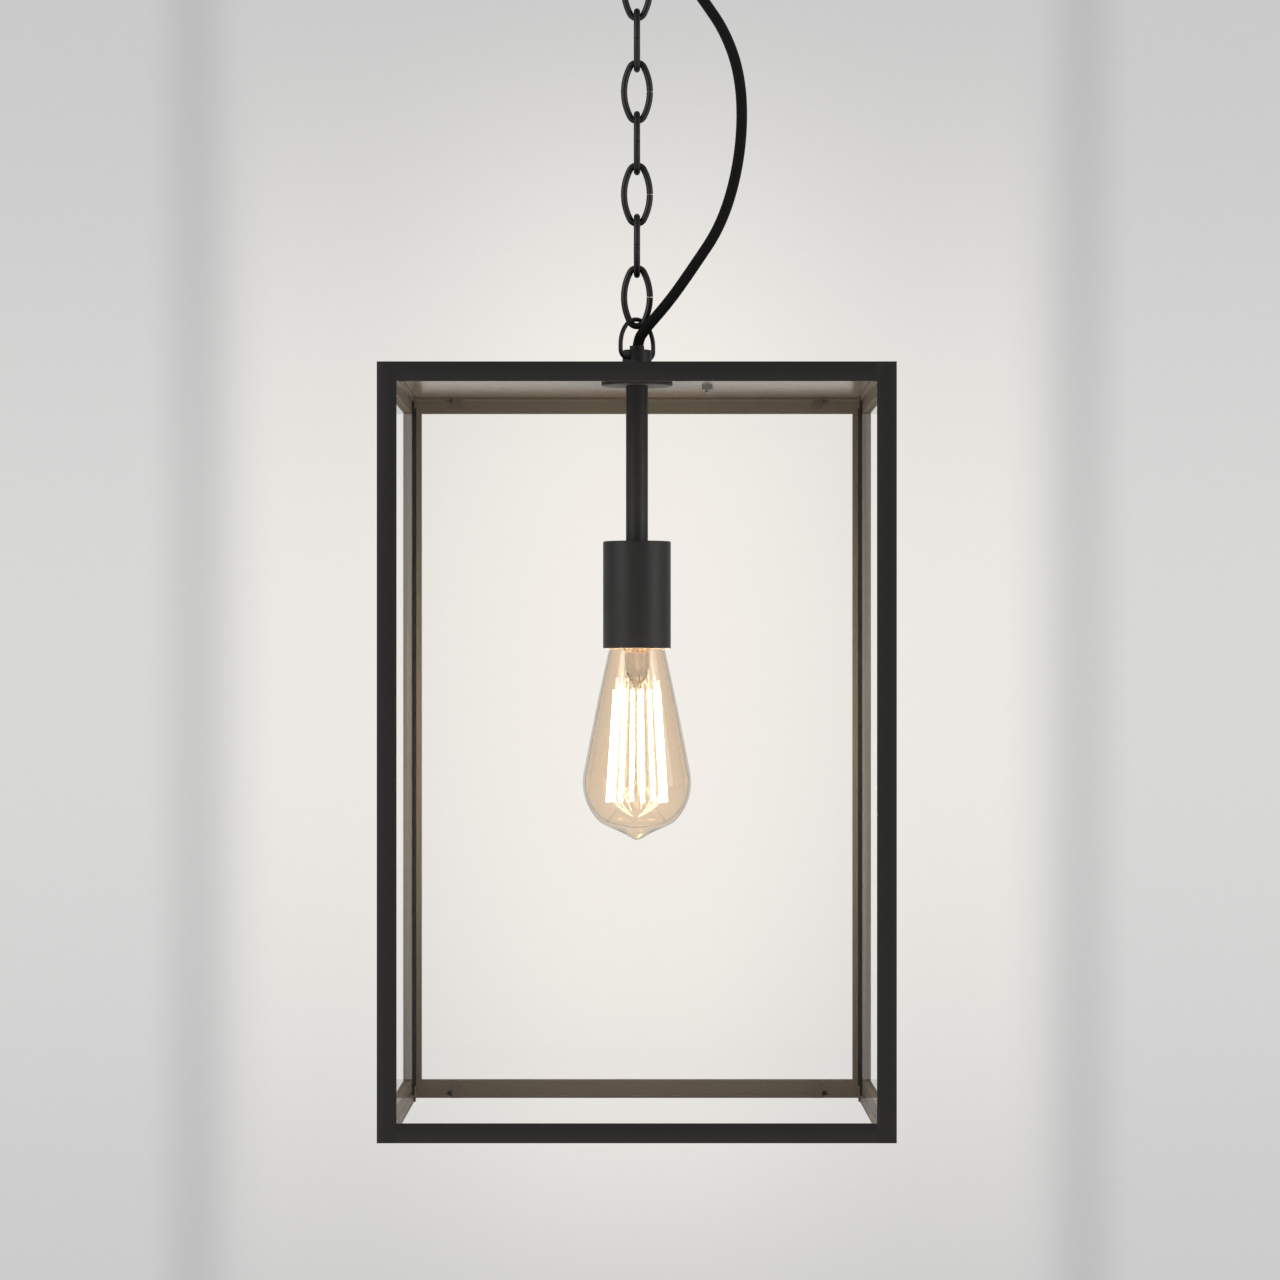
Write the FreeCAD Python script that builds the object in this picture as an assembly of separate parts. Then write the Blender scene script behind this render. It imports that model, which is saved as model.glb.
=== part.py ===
import FreeCAD
import Part
import math
import os

# Hanging lantern: a glazed steel box on a short chain, fed by a braided cord.
# Millimetres, +Z up. The origin is the middle of the ceiling face that the canopy bears on.
# The lantern, chain and cord are drawn from the lantern's top face (z = 0 there) and then lowered.

# Lantern body
body_width = 290.0
body_height = 436.0
bar_face = 11.0          # outside leg of the steel angle
bar_wall = 1.5
ledge_depth = 8.0        # rail ledges, from the body's outside face
plate_thick = 1.2
pane_inset = 5.0         # outside face of the body to outside face of the glass
pane_thick = 3.0
pane_play = 0.5          # between a pane and what it stands on or meets
seal_cover = 5.5         # width of the glazing tape round a pane
tab_width = 6.0
tab_thick = 0.8
tab_place = 112.0        # tabs each side of a pane's middle
tab_rise = 9.0           # tabs end short of the bars' inner edge

# Top fittings, one set on the lantern and one under the canopy
hub_radius = 8.6
hub_height = 17.5
hub_bore = 4.4
cross_hole_height = 13.0
cross_hole_floor = 5.2   # the cross holes stop short of the cord bore
nipple_radius = 4.95     # M10 x 1 tube
nipple_bore = 3.7
clearance_hole = 5.1
grip_radius = 4.3
grip_proud = 2.5
bail_wire = 2.6
bail_half_width = 15.6   # at the wire's centre
bail_height = 22.6       # cross hole to the wire at the top of the arch
bail_bend = 4.7
lantern_bail_turn = 52.0

# Chain
link_count = 8
link_length = 38.0
link_width = 19.0
link_wire = 3.8
link_end_radius = 4.6    # of the wire's centre line
link_slit = 0.45         # where the wire's two ends meet
wire_gap = 0.1           # between one wire and the next that it hangs in
slant_gap = 0.6          # extra where the lantern's bail crosses its link aslant

# Stem and lampholder
flange_radius = 21.0
flange_thick = 2.5
stem_radius = 6.5
stem_bore = 5.0
sleeve_top = -95.4
sleeve_length = 63.2
sleeve_radius = 20.0
sleeve_wall = 1.0
holder_radius = 17.5
holder_cavity = 14.3
shell_radius = 14.2
shell_bore = 13.4

# Lamp: an ST64 teardrop with an E27 cap
cap_radius = 13.1
cap_skirt = -154.6
cap_top = -128.1
glass_radius = 32.0
glass_centre = -237.6
glass_neck_radius = 16.8
glass_neck = -160.2
glass_wall = 0.9
filament_count = 8
filament_top = -183.0
filament_bottom = -249.0
filament_top_radius = 13.0
filament_bottom_radius = 17.4
filament_radius = 1.2

# Canopy
canopy_radius = 55.0
canopy_height = 26.0
canopy_wall = 1.0
bracket_length = 92.0
bracket_width = 20.0
bracket_thick = 2.0
bracket_drop = 12.0      # the strap's middle hangs this far below the ceiling
bracket_middle = 44.0
ceiling_hole_spacing = 72.0
ceiling_hole_radius = 2.5

# Cord
cord_radius = 3.2
cord_route = [
    (0.0, 0.0, 9.5),
    (0.0, 0.0, 22.6),
    (5.2, -4.8, 30.0),
    (12.8, -6.6, 38.4),
    (21.8, -6.4, 49.5),
    (33.6, -6.0, 66.5),
    (48.6, -4.6, 89.0),
    (58.0, -3.0, 117.0),
    (62.4, -1.8, 149.0),
    (60.8, -1.0, 180.0),
    (52.2, -1.6, 205.0),
    (38.6, -3.2, 224.5),
    (25.2, -5.8, 242.5),
    (15.2, -7.6, 258.0),
    (8.0, -7.8, 270.5),
    (4.2, -4.8, 280.2),
    (0.0, 0.0, 287.8),
    (0.0, 0.0, 300.5),
]

# Heights that follow from the sizes above
bail_wire_top = cross_hole_height + bail_height
first_link_low = bail_wire_top - (link_wire + bail_wire) / 2 - wire_gap - slant_gap
link_pitch = link_length - 2 * link_wire - wire_gap
link_reach = link_length - link_wire
last_link_high = first_link_low + (link_count - 1) * link_pitch + link_reach
canopy_bail_low = last_link_high - (link_wire + bail_wire) / 2 - wire_gap
canopy_cross_hole = canopy_bail_low + bail_height
canopy_hub_top = canopy_cross_hole + cross_hole_height
lantern_drop = canopy_hub_top + canopy_height
half = body_width / 2


def vector(x, y, z):
    return FreeCAD.Vector(x, y, z)


def block(x0, x1, y0, y1, z0, z1):
    """A box between two corners, given in any order."""
    low = [min(x0, x1), min(y0, y1), min(z0, z1)]
    return Part.makeBox(abs(x1 - x0), abs(y1 - y0), abs(z1 - z0), vector(*low))


def disc(radius, z0, z1, x=0.0, y=0.0):
    return Part.makeCylinder(radius, abs(z1 - z0), vector(x, y, min(z0, z1)))


def tube(radius, bore, z0, z1, x=0.0, y=0.0):
    return disc(radius, z0, z1, x, y).cut(disc(bore, z0, z1, x, y))


def rod(radius, start, end):
    way = vector(*end) - vector(*start)
    return Part.makeCylinder(radius, way.Length, vector(*start), way)


def turned(outline):
    """A solid turned about Z from (radius, z) points or ready edges in the XZ plane."""
    face = Part.Face(Part.Wire(outline))
    return face.revolve(vector(0, 0, 0), vector(0, 0, 1), 360)


def straight(points):
    """Edges that join (radius, z) points and close the outline."""
    places = [vector(r, 0, z) for r, z in points]
    return [Part.makeLine(a, b) for a, b in zip(places, places[1:] + places[:1])]


def joined(shapes):
    return shapes[0].fuse(shapes[1:]).removeSplitter()


def swept(path, radius):
    """A round wire or cord along a path of tangent edges."""
    first = path.Edges[0]
    start = first.valueAt(first.FirstParameter)
    tangent = first.tangentAt(first.FirstParameter)
    section = Part.Wire(Part.makeCircle(radius, start, tangent))
    return path.makePipeShell([section], True, True)


def rounded_path(points, radii=None):
    """Straight runs joined by tangent arcs. Without radii each arc is as large as its runs allow."""
    places = [vector(*p) for p in points]
    edges, used, at = [], [], places[0]
    for i in range(1, len(places) - 1):
        back = places[i - 1] - places[i]
        on = places[i + 1] - places[i]
        half_turn = (math.pi - back.getAngle(on)) / 2
        radius = 0.45 * min(back.Length, on.Length) / math.tan(half_turn)
        if radii:
            radius = radii[i - 1]
        reach = radius * math.tan(half_turn)
        back.normalize()
        on.normalize()
        start = places[i] + back * reach
        end = places[i] + on * reach
        middle_way = back + on
        middle_way.normalize()
        middle = places[i] + middle_way * (radius / math.cos(half_turn) - radius)
        edges.append(Part.makeLine(at, start))
        edges.append(Part.Arc(start, middle, end).toShape())
        used.append(radius)
        at = end
    edges.append(Part.makeLine(at, places[-1]))
    return Part.Wire(edges), used


def save(name, shape, lift=0.0):
    """Writes one part. Parts drawn from the lantern's top face are lowered by lantern_drop."""
    placed = shape.copy()
    placed.translate(vector(0, 0, lift))
    if not placed.isValid():
        print("not valid:", name)
    placed.exportStep("parts/" + name + ".step")
    print(f"{name}: {len(placed.Solids)} solid(s), {placed.Volume / 1000:.2f} cm3")


# ---- Lantern body -------------------------------------------------------------------------

def corner_post(side_x, side_y):
    face = block(side_x * (half - bar_face), side_x * half,
                 side_y * (half - bar_wall), side_y * half, -body_height, 0)
    flank = block(side_x * (half - bar_wall), side_x * half,
                  side_y * (half - bar_face), side_y * half, -body_height, 0)
    return joined([face, flank])


def rail(along_x, side, top):
    """A rail between two posts: an upright face, and a ledge that reaches into the body."""
    clear = half - bar_face
    inner = half - bar_wall
    z_outer, z_inner = (0, -bar_face) if top else (-body_height, -body_height + bar_face)
    ledge_z = -plate_thick if top else -body_height
    ledge_end = ledge_z + (-bar_wall if top else bar_wall)
    ledge_half = inner if along_x else half - ledge_depth
    wall = [-clear, clear, side * inner, side * half]
    ledge = [-ledge_half, ledge_half, side * (half - ledge_depth), side * inner]
    if not along_x:
        wall = wall[2:] + wall[:2]
        ledge = ledge[2:] + ledge[:2]
    return joined([block(*wall, z_outer, z_inner), block(*ledge, ledge_z, ledge_end)])


def top_plate():
    inner = half - bar_wall
    plate = block(-inner, inner, -inner, inner, -plate_thick, 0)
    return plate.cut(disc(clearance_hole, -plate_thick, 0))


pane_low = -body_height + bar_wall
pane_high = -plate_thick - bar_wall
pane_outer = half - pane_inset
pane_inner = pane_outer - pane_thick


def pane(along_x, side):
    reach = pane_outer if along_x else pane_inner - pane_play
    sides = [-reach, reach, side * pane_inner, side * pane_outer]
    if not along_x:
        sides = sides[2:] + sides[:2]
    return block(*sides, pane_low, pane_high - pane_play)


def glazing_seals():
    """Four frames of foam tape between the bars and the panes."""
    frames = []
    reach = pane_outer - 0.2
    hole = reach - seal_cover
    hole_low = -body_height + bar_face - 0.3
    hole_high = -bar_face + 0.3
    for side in (-1, 1):
        span = [side * pane_outer, side * (half - bar_wall)]
        across = block(-reach, reach, *span, pane_low, pane_high)
        frames.append(across.cut(block(-hole, hole, *span, hole_low, hole_high)))
        along = block(*span, -reach, reach, pane_low, pane_high)
        frames.append(along.cut(block(*span, -hole, hole, hole_low, hole_high)))
    return Part.makeCompound(frames)


def glass_tabs():
    """Steel tabs welded to the rails' ledges, which hold each pane from inside."""
    tabs = []
    depth = [half - ledge_depth, half - ledge_depth - tab_thick]
    for side in (-1, 1):
        for place in (-tab_place, tab_place):
            for z0, z1 in ((-body_height, -body_height + tab_rise), (-plate_thick, -tab_rise)):
                ends = [place - tab_width / 2, place + tab_width / 2]
                tabs.append(block(*ends, side * depth[0], side * depth[1], z0, z1))
                tabs.append(block(side * depth[0], side * depth[1], *ends, z0, z1))
    return Part.makeCompound(tabs)


earth_x, earth_y = 42.0, 32.0


def earth_screw():
    nut = Part.Face(Part.makePolygon(
        [vector(earth_x + 3.2 * math.cos(a * math.pi / 3), earth_y + 3.2 * math.sin(a * math.pi / 3),
                -plate_thick) for a in range(7)])).extrude(vector(0, 0, -2.4))
    return joined([nut, disc(1.5, -plate_thick, -plate_thick - 4.2, earth_x, earth_y)])


# ---- Hubs and bails -----------------------------------------------------------------------

def hub(cross_turn):
    """A turned hub on z = 0, bored for the cord, with two blind cross holes for a bail."""
    body = disc(hub_radius, 0, hub_height)
    body = body.makeChamfer(0.6, [e for e in body.Edges if e.Closed and e.BoundBox.ZMin > 1])
    thread_depth = hub_height - 9.3
    body = body.cut(disc(nipple_radius + 0.05, 0, thread_depth))
    body = body.cut(disc(hub_bore, 0, hub_height))
    hole_radius = bail_wire / 2 + 0.06
    for side in (-1, 1):
        hole = rod(hole_radius, (side * cross_hole_floor, 0, cross_hole_height),
                   (side * (hub_radius + 1), 0, cross_hole_height))
        body = body.cut(hole)
    body.rotate(vector(0, 0, 0), vector(0, 0, 1), cross_turn)
    return body


def bail(turn):
    """A bent wire loop over a hub, its two ends turned into the hub's cross holes."""
    centre = cross_hole_height + bail_height - bail_half_width
    pin_end = cross_hole_floor + 0.25
    bend_start = bail_half_width - bail_bend
    diagonal = bail_bend * math.sqrt(0.5)
    edges = []
    for side in (-1, 1):
        pin = vector(side * pin_end, 0, cross_hole_height)
        start = vector(side * bend_start, 0, cross_hole_height)
        middle = vector(side * (bend_start + diagonal), 0, cross_hole_height + bail_bend - diagonal)
        end = vector(side * bail_half_width, 0, cross_hole_height + bail_bend)
        leg_top = vector(side * bail_half_width, 0, centre)
        edges.append([Part.makeLine(pin, start), Part.Arc(start, middle, end).toShape(),
                      Part.makeLine(end, leg_top)])
    arch = Part.Arc(vector(-bail_half_width, 0, centre), vector(0, 0, centre + bail_half_width),
                    vector(bail_half_width, 0, centre)).toShape()
    path = Part.Wire(Part.__sortEdges__(edges[0] + [arch] + edges[1]))
    wire = swept(path, bail_wire / 2)
    wire.rotate(vector(0, 0, 0), vector(0, 0, 1), turn)
    return wire


def cord_grip():
    """The bush in the hub's mouth that grips the cord and stands a little proud."""
    mouth = hub_height + grip_proud
    grip = tube(grip_radius, cord_radius + 0.05, hub_height - 7.5, mouth)
    flare = Part.makeCone(cord_radius, cord_radius + 0.7, 3.0, vector(0, 0, mouth - 3.0))
    return grip.cut(flare)


# ---- Chain --------------------------------------------------------------------------------

def chain_link(number):
    """An oval of four arcs with a fine slit half way up one side. Odd links face +-Y."""
    a = link_reach / 2
    b = (link_width - link_wire) / 2
    r = link_end_radius
    side_radius = (b * b + (a - r) ** 2 - r * r) / (2 * (b - r))
    centre_x = b - side_radius
    reach = side_radius / (side_radius - r)
    meet_x = centre_x - centre_x * reach
    meet_z = (a - r) * reach
    arcs = []
    for sx in (-1, 1):
        arcs.append(Part.Arc(vector(sx * meet_x, 0, -meet_z), vector(sx * b, 0, 0),
                             vector(sx * meet_x, 0, meet_z)).toShape())
    for sz in (-1, 1):
        arcs.append(Part.Arc(vector(-meet_x, 0, sz * meet_z), vector(0, 0, sz * a),
                             vector(meet_x, 0, sz * meet_z)).toShape())
    path = Part.Wire(Part.__sortEdges__(arcs))
    link = swept(path, link_wire / 2)
    slit = block(b - link_wire, b + link_wire, -link_wire, link_wire, -link_slit / 2, link_slit / 2)
    link = link.cut(slit)
    if number % 2 == 0:
        link.rotate(vector(0, 0, 0), vector(0, 0, 1), -90)
    link.translate(vector(0, 0, first_link_low + (number - 1) * link_pitch + a))
    return link


# ---- Stem and lampholder ------------------------------------------------------------------

stem_top = -plate_thick - flange_thick
sleeve_bottom = sleeve_top - sleeve_length
holder_top = sleeve_top - 1.2
holder_bottom = sleeve_bottom + 4.0
cavity_top = cap_top + 7.0
wiring_top = holder_top - 4.5
wiring_floor = cavity_top + 4.0


def stem_flange():
    flange = tube(flange_radius, stem_bore, -plate_thick, stem_top)
    rim = [e for e in flange.Edges if e.Closed and e.Length > 2 * math.pi * (flange_radius - 1)
           and e.BoundBox.ZMax < -plate_thick - 1]
    return flange.makeChamfer(0.8, rim)


def lampholder_sleeve():
    sleeve = disc(sleeve_radius, sleeve_bottom, sleeve_top)
    crown = [e for e in sleeve.Edges if e.Closed and e.BoundBox.ZMin > sleeve_top - 1]
    sleeve = sleeve.makeFillet(1.4, crown)
    sleeve = sleeve.cut(disc(sleeve_radius - sleeve_wall, sleeve_bottom, holder_top))
    return sleeve.cut(disc(clearance_hole, holder_top, sleeve_top))


def lampholder_body():
    body = disc(holder_radius, holder_bottom, holder_top)
    body = body.cut(disc(holder_cavity, holder_bottom, cavity_top))
    body = body.cut(disc(12.0, wiring_floor, wiring_top))
    body = body.cut(disc(3.0, cavity_top, wiring_floor))
    return body.cut(disc(stem_bore, wiring_top, holder_top))


def lampholder_shell():
    """The brass shell round the lamp's cap, turned in at its top."""
    low = holder_bottom + 1.5
    high = cavity_top - 0.4
    shell = tube(shell_radius, shell_bore, low, high)
    top = tube(shell_radius, 6.0, high - 0.5, high)
    return joined([shell, top])


def holder_terminals():
    """Two brass terminal blocks, each with its screw."""
    pair = []
    floor = wiring_floor
    for side in (-1, 1):
        brass = block(side * 4.5, side * 9.5, -3, 3, floor, floor + 6)
        screw = disc(1.6, floor + 6, floor + 8, side * 7)
        pair.append(joined([brass, screw]))
    return Part.makeCompound(pair)


def three_cores(z0, z1):
    cores = []
    for i in range(3):
        angle = math.radians(90 + 120 * i)
        cores.append(disc(1.1, z0, z1, 1.9 * math.cos(angle), 1.9 * math.sin(angle)))
    return Part.makeCompound(cores)


# ---- Lamp ---------------------------------------------------------------------------------

def glass_outline(shrink):
    """The teardrop: a cone from the neck that runs tangent into the round bottom."""
    radius = glass_radius - shrink
    neck_r = glass_neck_radius - shrink
    dx = neck_r
    dz = glass_neck - glass_centre
    distance = math.hypot(dx, dz)
    to_neck = math.atan2(dz, dx)
    touch = to_neck - math.acos(radius / distance)
    touch_point = vector(radius * math.cos(touch), 0, glass_centre + radius * math.sin(touch))
    low = vector(0, 0, glass_centre - radius)
    swing = (touch - math.pi / 2) / 2
    middle = vector(radius * math.cos(swing), 0, glass_centre + radius * math.sin(swing))
    neck = vector(neck_r, 0, glass_neck)
    throat = vector(cap_radius - 1.1 - shrink, 0, cap_skirt)
    lip = throat + vector(0, 0, 1.2)
    lip_middle = vector(0, 0, lip.z)
    return [
        Part.makeLine(lip_middle, lip),
        Part.makeLine(lip, throat),
        Part.makeLine(throat, neck),
        Part.makeLine(neck, touch_point),
        Part.Arc(touch_point, middle, low).toShape(),
        Part.makeLine(low, lip_middle),
    ]


def lamp_glass():
    outer = turned(glass_outline(0))
    bottom = glass_centre - glass_radius
    pip = Part.makeCone(3.2, 7.5, 3.2, vector(0, 0, bottom - 2.2))
    inner = turned(glass_outline(glass_wall))
    return joined([outer, pip]).cut(inner)


def lamp_cap_shell():
    """The screw cap, its thread drawn as five rounded rings."""
    pieces = [disc(12.5, cap_skirt, cap_top - 5.0)]
    for ring in range(5):
        crest = cap_skirt + 4.5 + 3.6 * ring
        pieces.append(Part.makeTorus(12.3, 0.8, vector(0, 0, crest)))
    shell = joined(pieces)
    return shell.cut(disc(12.1, cap_skirt, cap_top - 5.6)).cut(disc(9.0, cap_top - 6, cap_top - 4))


def lamp_cap_insulator():
    outline = [(0, cap_top - 5.0), (11.5, cap_top - 5.0), (6.0, cap_top - 1.6), (0, cap_top - 1.6)]
    return turned(straight(outline))


def lamp_cap_contact():
    return turned(straight([(0, cap_top - 1.6), (4.6, cap_top - 1.6), (3.6, cap_top), (0, cap_top)]))


def lamp_stem():
    """The glass mount inside the lamp: a flared foot, a stalk and a button."""
    foot = cap_skirt - 2.0
    outline = [(0, foot), (8.6, foot), (7.4, foot - 4), (6.6, foot - 12), (3.6, foot - 20),
               (2.2, foot - 24), (2.2, filament_bottom + 14), (3.0, filament_bottom + 12),
               (3.0, filament_bottom + 9), (0, filament_bottom + 9)]
    return turned(straight(outline))


def filament_place(i, height):
    """Where filament i stands at a height from 0, its top, to 1, its bottom."""
    angle = 2 * math.pi * (i + 0.25) / filament_count
    radius = filament_top_radius + (filament_bottom_radius - filament_top_radius) * height
    z = filament_top + (filament_bottom - filament_top) * height
    return (radius * math.cos(angle), radius * math.sin(angle), z)


def lamp_filaments():
    threads = [rod(filament_radius, filament_place(i, 0), filament_place(i, 1))
               for i in range(filament_count)]
    return Part.makeCompound(threads)


def lamp_support_wires():
    """Wires from the stalk to both ends of each filament."""
    wires = []
    for i in range(filament_count):
        for height, inner_z in ((0, filament_top + 6), (1, filament_bottom + 10.5)):
            x, y, z = filament_place(i, height)
            stalk = 5.4 / math.hypot(x, y) if height == 0 else 3.0 / math.hypot(x, y)
            away = 1.0 + (-0.4 if height == 0 else 0.4) / abs(filament_bottom - filament_top)
            shift = filament_radius + 0.25 if height == 0 else -(filament_radius + 0.25)
            wires.append(rod(0.25, (x * stalk, y * stalk, inner_z), (x * away, y * away, z + shift)))
    return Part.makeCompound(wires)


# ---- Canopy, drawn from the ceiling (z = 0) -----------------------------------------------

def canopy_cup():
    cup = disc(canopy_radius, -canopy_height, 0)
    rim = [e for e in cup.Edges if e.Closed and e.BoundBox.ZMax < -canopy_height + 1]
    cup = cup.makeFillet(5.0, rim)
    cup = cup.cut(disc(canopy_radius - canopy_wall, -canopy_height + 5.0, 0))
    cup = cup.cut(disc(canopy_radius - 5.0, -canopy_height + canopy_wall, -1))
    return cup.cut(disc(clearance_hole, -canopy_height, 0))


def mounting_bracket():
    """A steel strap screwed to the ceiling at its ends, its middle stepped down for the nipple."""
    w = bracket_width / 2
    foot = bracket_length / 2
    mid = bracket_middle / 2
    t = bracket_thick
    low = -bracket_drop
    pieces = [block(-w, w, -mid, mid, low - t, low)]
    for side in (-1, 1):
        pieces.append(block(-w, w, side * (mid - t), side * mid, low - t, 0))
        pieces.append(block(-w, w, side * (mid - t), side * foot, -t, 0))
    strap = joined(pieces).cut(disc(clearance_hole, low - t, low))
    for side in (-1, 1):
        strap = strap.cut(disc(ceiling_hole_radius, -t, 0, 0, side * ceiling_hole_spacing / 2))
    return strap


def hex_nut(across_flats, bore, z0, z1):
    corner = across_flats / math.sqrt(3)
    points = [vector(corner * math.cos(a * math.pi / 3), corner * math.sin(a * math.pi / 3), z0)
              for a in range(7)]
    nut = Part.Face(Part.makePolygon(points)).extrude(vector(0, 0, z1 - z0))
    return nut.cut(disc(bore, z0, z1))


def terminal_block():
    """A two-way connector strip beside the bracket, with a wire funnel through each way."""
    strip = block(16, 34, -14, 14, -19, -7)
    for y in (-7, 7):
        strip = strip.cut(rod(2.2, (16, y, -13), (34, y, -13)))
        strip = strip.cut(disc(2.0, -7, -10.9, 25, y))
    return strip


def terminal_screws():
    screws = [disc(1.8, -7.2, -10.7, 25, y) for y in (-7, 7)]
    return Part.makeCompound(screws)


def canopy_cores():
    """The cord's cores from the top of the nipple to the connector strip."""
    cores = []
    for side in (-1, 1):
        path, _ = rounded_path([(0, side * 1.6, -17), (0, side * 1.6, -6.0), (9, side * 5.5, -5.0),
                                (13, side * 7, -13), (22, side * 7, -13)], [3.0, 3.0, 3.0])
        cores.append(swept(path, 1.1))
    return Part.makeCompound(cores)


# ---- Writing ------------------------------------------------------------------------------

os.makedirs("parts", exist_ok=True)
low = -lantern_drop

for depth_name, side_y in (("front", -1), ("back", 1)):
    for side_name, side_x in (("left", -1), ("right", 1)):
        save(f"post_{depth_name}_{side_name}", corner_post(side_x, side_y), low)
for side_name, along_x, side in (("front", True, -1), ("back", True, 1),
                                 ("left", False, -1), ("right", False, 1)):
    save(f"top_rail_{side_name}", rail(along_x, side, True), low)
    save(f"bottom_rail_{side_name}", rail(along_x, side, False), low)
    save(f"glass_{side_name}", pane(along_x, side), low)
save("top_plate", top_plate(), low)
save("glazing_seals", glazing_seals(), low)
save("glass_tabs", glass_tabs(), low)
save("earth_screw", earth_screw(), low)

save("lantern_hub", hub(lantern_bail_turn), low)
save("lantern_nipple", tube(nipple_radius, nipple_bore, hub_height - 9.5, -14.0), low)
save("lantern_cord_grip", cord_grip(), low)
save("lantern_bail", bail(lantern_bail_turn), low)
for number in range(1, link_count + 1):
    save(f"chain_link_{number}", chain_link(number), low)

save("stem_flange", stem_flange(), low)
save("stem_tube", tube(stem_radius, stem_bore, stem_top, sleeve_top), low)
save("stem_cores", three_cores(hub_height - 8.3, wiring_floor + 9.0), low)
save("holder_nipple", tube(nipple_radius, nipple_bore, sleeve_top + 9.0, wiring_top), low)
save("lampholder_sleeve", lampholder_sleeve(), low)
save("lampholder_body", lampholder_body(), low)
save("lampholder_shell", lampholder_shell(), low)
save("lampholder_contact", disc(2.8, cap_top + 0.3, wiring_floor + 2.0), low)
save("holder_terminals", holder_terminals(), low)

save("lamp_glass", lamp_glass(), low)
save("lamp_cap_shell", lamp_cap_shell(), low)
save("lamp_cap_insulator", lamp_cap_insulator(), low)
save("lamp_cap_contact", lamp_cap_contact(), low)
save("lamp_stem", lamp_stem(), low)
save("lamp_filaments", lamp_filaments(), low)
save("lamp_support_wires", lamp_support_wires(), low)

upside_down = FreeCAD.Placement(vector(0, 0, -canopy_height), FreeCAD.Rotation(vector(1, 0, 0), 180))
for name, shape in (("canopy_hub", hub(0)), ("canopy_bail", bail(0)),
                    ("canopy_cord_grip", cord_grip())):
    shape.Placement = upside_down.multiply(shape.Placement)
    save(name, shape)
nipple_low = -canopy_height - (hub_height - 9.5)
save("canopy_nipple", tube(nipple_radius, nipple_bore, nipple_low, -bracket_drop + 3.0))
save("canopy_locknut", hex_nut(14.0, nipple_radius + 0.05, -bracket_drop - 2 * bracket_thick - 2.0,
                               -bracket_drop - bracket_thick))
save("canopy_cup", canopy_cup())
save("mounting_bracket", mounting_bracket())
save("terminal_block", terminal_block())
save("terminal_screws", terminal_screws())
save("canopy_cores", canopy_cores())

cord_path, cord_radii = rounded_path(cord_route)
cord = swept(cord_path, cord_radius)
save("power_cord", cord, low)
section_volume = math.pi * cord_radius ** 2 * cord_path.Length
print("cord radii:", ", ".join(f"{r:.0f}" for r in cord_radii))
print(f"cord length {cord_path.Length:.1f} mm, volume ratio {cord.Volume / section_volume:.4f}")
print(f"links from {first_link_low:.2f} to {last_link_high:.2f}, drop {lantern_drop:.2f} mm")
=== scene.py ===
import math

import bmesh
import bpy
from mathutils import Matrix, Vector


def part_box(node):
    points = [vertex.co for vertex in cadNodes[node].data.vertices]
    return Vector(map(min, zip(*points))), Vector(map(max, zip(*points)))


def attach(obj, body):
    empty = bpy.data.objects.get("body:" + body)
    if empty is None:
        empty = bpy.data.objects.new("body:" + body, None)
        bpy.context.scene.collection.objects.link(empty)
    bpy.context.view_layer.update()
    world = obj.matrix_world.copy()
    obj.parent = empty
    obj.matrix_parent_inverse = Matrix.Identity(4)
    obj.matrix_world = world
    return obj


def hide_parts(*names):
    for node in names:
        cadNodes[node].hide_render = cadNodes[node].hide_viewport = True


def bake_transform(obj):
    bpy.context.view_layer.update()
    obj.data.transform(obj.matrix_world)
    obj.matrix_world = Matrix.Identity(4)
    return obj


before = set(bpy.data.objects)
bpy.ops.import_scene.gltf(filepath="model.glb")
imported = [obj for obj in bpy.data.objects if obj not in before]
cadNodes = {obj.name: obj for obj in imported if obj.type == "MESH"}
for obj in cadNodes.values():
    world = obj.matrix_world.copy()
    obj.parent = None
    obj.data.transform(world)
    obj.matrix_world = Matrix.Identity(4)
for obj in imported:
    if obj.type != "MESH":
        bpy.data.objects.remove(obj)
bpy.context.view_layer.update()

mm = 0.001
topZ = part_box("top_plate")[1][2]          # the lantern's top face


# sRGB hex to linear
def linearColour(hexCode, alpha=1.0):
    channels = [int(hexCode[i:i + 2], 16) / 255 for i in (1, 3, 5)]
    return tuple(c / 12.92 if c <= 0.04045 else ((c + 0.055) / 1.055) ** 2.4 for c in channels) + (alpha,)


# adds a node. Inputs are named with _ for spaces, or i0, i1 by number; a value may be a socket
def addNode(tree, kind, settings=None, **inputs):
    node = tree.nodes.new(kind)
    for key, value in (settings or {}).items():
        setattr(node, key, value)
    for key, value in inputs.items():
        byNumber = key[0] == "i" and key[1:].isdigit()
        socket = node.inputs[int(key[1:])] if byNumber else node.inputs[key.replace("_", " ")]
        if isinstance(value, bpy.types.NodeSocket):
            tree.links.new(value, socket)
        else:
            socket.default_value = value
    return node


def newMaterial(name):
    material = bpy.data.materials.new(name)
    material.use_nodes = True
    material.node_tree.nodes.clear()
    return material, material.node_tree


def finishMaterial(tree, shader):
    addNode(tree, "ShaderNodeOutputMaterial", Surface=shader)


def objectCoords(tree, scale=(1, 1, 1)):
    coords = addNode(tree, "ShaderNodeTexCoord")
    return addNode(tree, "ShaderNodeMapping", Vector=coords.outputs["Object"], Scale=scale).outputs[0]


def addPiece(name, mesh, material, body, *nodes):
    piece = bpy.data.objects.new(name, mesh)
    bpy.context.scene.collection.objects.link(piece)
    mesh.materials.clear()
    mesh.materials.append(material)
    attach(piece, body)
    if nodes:
        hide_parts(*nodes)
    return piece


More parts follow.
